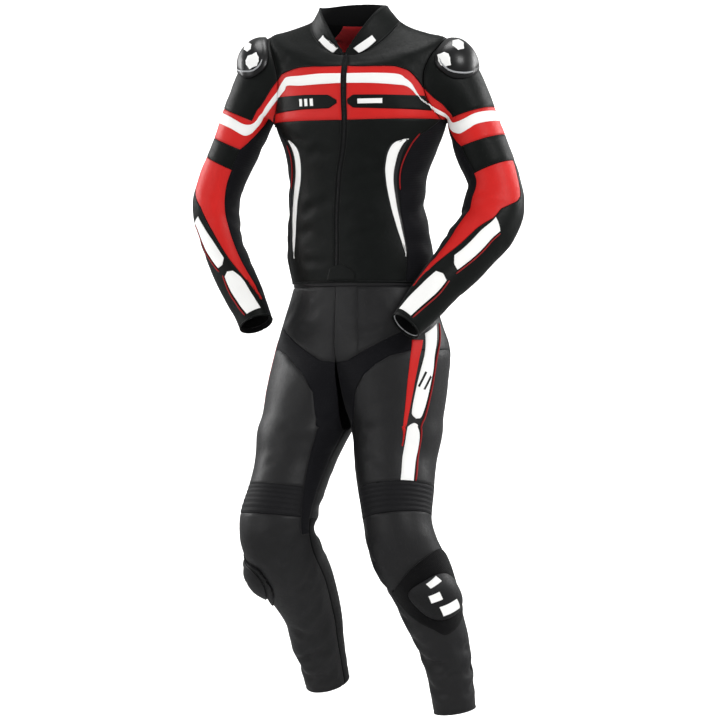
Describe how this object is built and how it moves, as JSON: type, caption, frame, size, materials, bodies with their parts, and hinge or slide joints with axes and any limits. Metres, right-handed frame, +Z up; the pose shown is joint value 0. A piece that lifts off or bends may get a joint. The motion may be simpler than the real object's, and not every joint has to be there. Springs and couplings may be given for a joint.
{
  "type": "motorcycle race suit",
  "caption": "Two-piece leather race suit, zipped jacket with stand collar over trousers, filled out as if worn, with chest and sleeve bands, shoulder cups and knee sliders.",
  "frame": {"origin": "between the shoulders at the base of the neck, where the wearer holds the suit up", "axes": "+Z up along the wearer's height, -Y to the wearer's front, +X to the wearer's left"},
  "size_m": [0.669, 0.3617, 1.4499],
  "materials": {
    "leather": "charcoal cowhide, satin",
    "jacket_leather": "black cowhide, satin",
    "stretch": "black woven stretch fabric, matte",
    "red_leather": "bright red cowhide, satin",
    "white_leather": "white cowhide, satin",
    "hard_black": "black moulded plastic, glossy",
    "hook_pad": "black loop tape, matte",
    "slider_grey": "dark grey moulded plastic",
    "zip_black": "black zip teeth and tape",
    "label_red": "red woven label"
  },
  "bodies": {
    "root": {"back_band": "red_leather", "back_lower": "jacket_leather", "back_yoke": "jacket_leather", "calf_left": "leather", "calf_right": "leather", "chest_band_left": "red_leather", "chest_band_right": "red_leather", "chest_stripe_left": "white_leather", "chest_stripe_right": "white_leather", "collar": "jacket_leather", "fly": "leather", "forearm_bar_left": "white_leather", "forearm_bar_right": "white_leather", "forearm_panel_left": "red_leather", "forearm_panel_right": "red_leather", "front_left": "jacket_leather", "front_right": "jacket_leather", "front_yoke_left": "jacket_leather", "front_yoke_right": "jacket_leather", "front_zip": "zip_black", "gusset_left": "stretch", "gusset_right": "stretch", "hip_front_left": "leather", "hip_front_right": "leather", "knee_pad_left": "hook_pad", "knee_pad_right": "hook_pad", "knee_slider_left": "slider_grey", "knee_slider_right": "slider_grey", "knee_stretch_left": "stretch", "knee_stretch_right": "stretch", "neck_label": "label_red", "pocket_trim_left": "white_leather", "pocket_trim_right": "white_leather", "seat_left": "leather", "seat_right": "leather", "shin_left": "leather", "shin_right": "leather", "shoulder_cup_left": "hard_black", "shoulder_cup_right": "hard_black", "side_panel_left": "stretch", "side_panel_right": "stretch", "side_stripe_red_left": "red_leather", "side_stripe_red_right": "red_leather", "side_stripe_white_left": "white_leather", "side_stripe_white_right": "white_leather", "sleeve_band_left": "red_leather", "sleeve_band_right": "red_leather", "sleeve_head_left": "jacket_leather", "sleeve_head_right": "jacket_leather", "sleeve_lower_left": "jacket_leather", "sleeve_lower_right": "jacket_leather", "sleeve_stretch_left": "stretch", "sleeve_stretch_right": "stretch", "sleeve_stripe_left": "white_leather", "sleeve_stripe_right": "white_leather", "thigh_left": "leather", "thigh_right": "leather", "waistband": "leather"}
  },
  "joints": []
}
